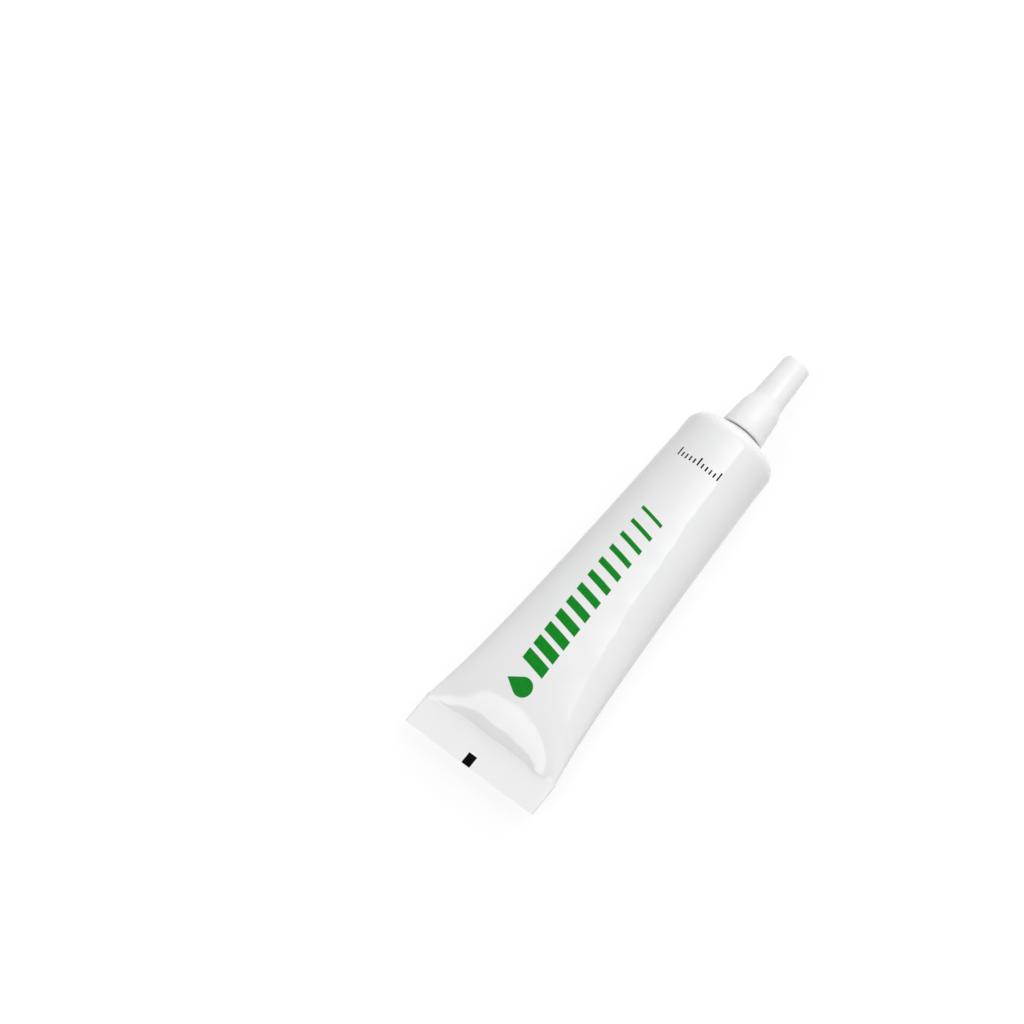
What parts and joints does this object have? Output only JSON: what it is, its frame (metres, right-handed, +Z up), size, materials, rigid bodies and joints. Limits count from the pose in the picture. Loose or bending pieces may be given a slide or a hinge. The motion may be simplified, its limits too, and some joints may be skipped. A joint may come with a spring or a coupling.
{
  "type": "squeeze tube of lubricating grease",
  "caption": "Plastic squeeze tube of lubricating grease with a heat-sealed flat tail, a moulded nozzle head and a pointed screw cap that turns and pulls off.",
  "frame": {"origin": "on the surface that the tube lies on, under the middle of the whole tube's length and width", "axes": "+X from the sealed tail towards the cap, +Y across the tube's width, +Z up"},
  "size_m": [0.0986, 0.0292, 0.0192],
  "materials": {
    "sleeve_film": "white polyethylene film, glossy, with a green and black print",
    "head_moulding": "white moulded polyethylene, semi-gloss",
    "grease": "cream-coloured grease, soft and moist",
    "seal": "natural soft polyethylene, milky",
    "cap": "white moulded polypropylene, satin gloss"
  },
  "bodies": {
    "tube": {"tube_sleeve": "sleeve_film", "tube_head": "head_moulding", "grease_fill": "grease"},
    "seal": {"tip_seal": "seal"},
    "cap": {"screw_cap": "cap"}
  },
  "joints": [
    {"name": "cap_pull", "type": "slide", "parent": "tube", "child": "seal", "axis": [0.998, 0, 0.063], "range_m": [0, 0.03]},
    {"name": "cap_turn", "type": "hinge", "parent": "seal", "child": "cap", "pos_m": [0.03167, 0, 0.00993], "axis": [0.998, 0, 0.063], "range_deg": [0, 720]}
  ]
}
